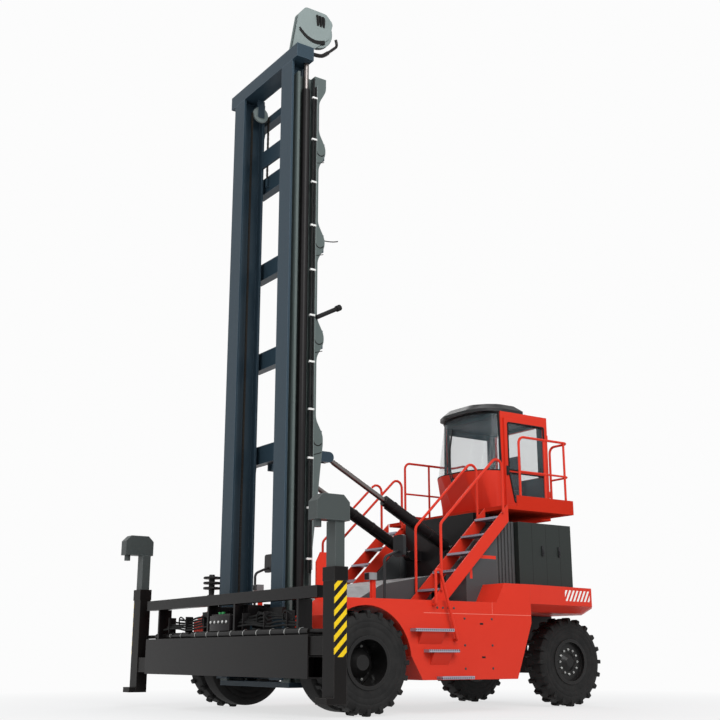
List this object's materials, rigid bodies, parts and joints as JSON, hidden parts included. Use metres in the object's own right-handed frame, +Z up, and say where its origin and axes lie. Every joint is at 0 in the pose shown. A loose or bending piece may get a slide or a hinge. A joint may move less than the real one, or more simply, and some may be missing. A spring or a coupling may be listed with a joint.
{
  "type": "electric empty container handler",
  "caption": "Battery-electric empty container handler: two-stage vertical mast with a telescopic side-lift spreader, dual drive wheels, rear steering and a raised cab.",
  "frame": {"origin": "on the ground, under the middle of the machine's box", "axes": "+X to the machine's left, -Y to its front, +Z up"},
  "size_m": [6.1, 6.62, 10.98],
  "materials": {
    "body_paint": "gloss",
    "mast_paint": "satin",
    "cover_paint": "satin",
    "battery_paint": "satin",
    "black_paint": "satin",
    "rim_paint": "satin",
    "tyre_rubber": "matte",
    "rod_chrome": "polished",
    "chain_steel": "oiled",
    "step_metal": "perforated",
    "cab_plastic": "matte",
    "cab_glass": "clear",
    "seat_fabric": "woven",
    "lamp_lens": "clear",
    "lamp_clear": "clear"
  },
  "bodies": {
    "chassis": {"drive_axle": "black_paint", "steer_axle": "black_paint", "chassis_frame": "black_paint", "body_left": "body_paint", "body_right": "body_paint", "tail": "body_paint", "service_covers": "cover_paint", "battery": "battery_paint", "pedestal": "black_paint", "platform": "body_paint", "handrails": "body_paint", "stair_stringers": "body_paint", "step_treads": "step_metal", "mirrors": "cab_plastic", "lamps": "lamp_clear", "cab_tub": "body_paint", "cab_sides": "body_paint", "cab_rear": "body_paint", "cab_roof": "body_paint", "roof_cap": "cab_plastic", "cab_glass": "cab_glass", "seat": "seat_fabric", "console": "cab_plastic", "beacon": "lamp_lens"},
    "cab_door": {"cab_door": "body_paint", "door_panes": "cab_glass"},
    "mast_outer": {"outer_rails": "mast_paint", "outer_beams": "mast_paint", "lift_barrels": "black_paint"},
    "mast_inner": {"inner_rails": "mast_paint", "inner_beams": "mast_paint", "lift_rods": "rod_chrome", "sheaves": "black_paint", "lift_chains": "chain_steel", "anchor_chains": "chain_steel"},
    "tilt_barrels": {"tilt_barrels": "black_paint"},
    "tilt_rods": {"tilt_rods": "rod_chrome"},
    "carriage": {"carriage": "black_paint"},
    "spreader": {"spreader_frame": "black_paint"},
    "drive_wheels_left": {"drive_tyres_left": "tyre_rubber", "drive_rims_left": "rim_paint"},
    "knuckle_left": {"knuckle_left": "black_paint"},
    "steer_wheel_left": {"steer_tyre_left": "tyre_rubber", "steer_rim_left": "rim_paint"},
    "extension_left": {"extension_left": "black_paint"},
    "column_left": {"column_left": "black_paint"},
    "drive_wheels_right": {"drive_tyres_right": "tyre_rubber", "drive_rims_right": "rim_paint"},
    "knuckle_right": {"knuckle_right": "black_paint"},
    "steer_wheel_right": {"steer_tyre_right": "tyre_rubber", "steer_rim_right": "rim_paint"},
    "extension_right": {"extension_right": "black_paint"},
    "column_right": {"column_right": "black_paint"}
  },
  "joints": [
    {"name": "drive_spin_left", "type": "hinge", "parent": "chassis", "child": "drive_wheels_left", "pos_m": [1.635, -1.83, 0.685], "axis": [1, 0, 0], "continuous": true},
    {"name": "steer_left", "type": "hinge", "parent": "chassis", "child": "knuckle_left", "pos_m": [0.8, 2.59, 0.685], "axis": [0, 0, 1], "range_deg": [-50, 50]},
    {"name": "steer_spin_left", "type": "hinge", "parent": "knuckle_left", "child": "steer_wheel_left", "pos_m": [1.1625, 2.59, 0.685], "axis": [1, 0, 0], "continuous": true},
    {"name": "drive_spin_right", "type": "hinge", "parent": "chassis", "child": "drive_wheels_right", "pos_m": [-1.635, -1.83, 0.685], "axis": [1, 0, 0], "continuous": true},
    {"name": "steer_right", "type": "hinge", "parent": "chassis", "child": "knuckle_right", "pos_m": [-0.8, 2.59, 0.685], "axis": [0, 0, 1], "range_deg": [-50, 50]},
    {"name": "steer_spin_right", "type": "hinge", "parent": "knuckle_right", "child": "steer_wheel_right", "pos_m": [-1.1625, 2.59, 0.685], "axis": [1, 0, 0], "continuous": true},
    {"name": "mast_tilt", "type": "hinge", "parent": "chassis", "child": "mast_outer", "pos_m": [0, -1.93, 1.1], "axis": [-1, 0, 0], "range_deg": [-5, 5]},
    {"name": "tilt_barrel_swing", "type": "hinge", "parent": "chassis", "child": "tilt_barrels", "pos_m": [0, 0.82, 2.41], "axis": [-1, 0, 0], "range_deg": [-4, 4]},
    {"name": "tilt_rod_slide", "type": "slide", "parent": "tilt_barrels", "child": "tilt_rods", "axis": [0, -0.8831, 0.4692], "range_m": [-0.26, 0.26]},
    {"name": "mast_lift", "type": "slide", "parent": "mast_outer", "child": "mast_inner", "axis": [0, 0, 1], "range_m": [0, 7.9], "deforming": ["anchor_chains"]},
    {"name": "carriage_lift", "type": "slide", "parent": "mast_inner", "child": "carriage", "axis": [0, 0, 1], "range_m": [0, 7.9], "deforming": ["lift_chains"]},
    {"name": "side_shift", "type": "slide", "parent": "carriage", "child": "spreader", "axis": [1, 0, 0], "range_m": [-0.6, 0.6]},
    {"name": "extend_left", "type": "slide", "parent": "spreader", "child": "extension_left", "axis": [1, 0, 0], "range_m": [0, 3.05]},
    {"name": "extend_right", "type": "slide", "parent": "spreader", "child": "extension_right", "axis": [-1, 0, 0], "range_m": [0, 3.05]},
    {"name": "column_left_lift", "type": "slide", "parent": "extension_left", "child": "column_left", "axis": [0, 0, 1], "range_m": [-0.42, 0.31]},
    {"name": "column_right_lift", "type": "slide", "parent": "extension_right", "child": "column_right", "axis": [0, 0, 1], "range_m": [-0.42, 0.31]},
    {"name": "door_hinge", "type": "hinge", "parent": "chassis", "child": "cab_door", "pos_m": [0.7923, 2.82, 3.93], "axis": [0, 0, 1], "range_deg": [0, 45]}
  ],
  "couplings": [
    {"joint": "steer_right", "follows": "steer_left", "ratio": 1},
    {"joint": "tilt_barrel_swing", "follows": "mast_tilt", "ratio": 0.32913},
    {"joint": "tilt_rod_slide", "follows": "mast_tilt", "m_per_rad": -2.4466},
    {"joint": "carriage_lift", "follows": "mast_lift", "ratio": 1},
    {"joint": "extend_right", "follows": "extend_left", "ratio": 1},
    {"joint": "column_right_lift", "follows": "column_left_lift", "ratio": 1}
  ]
}
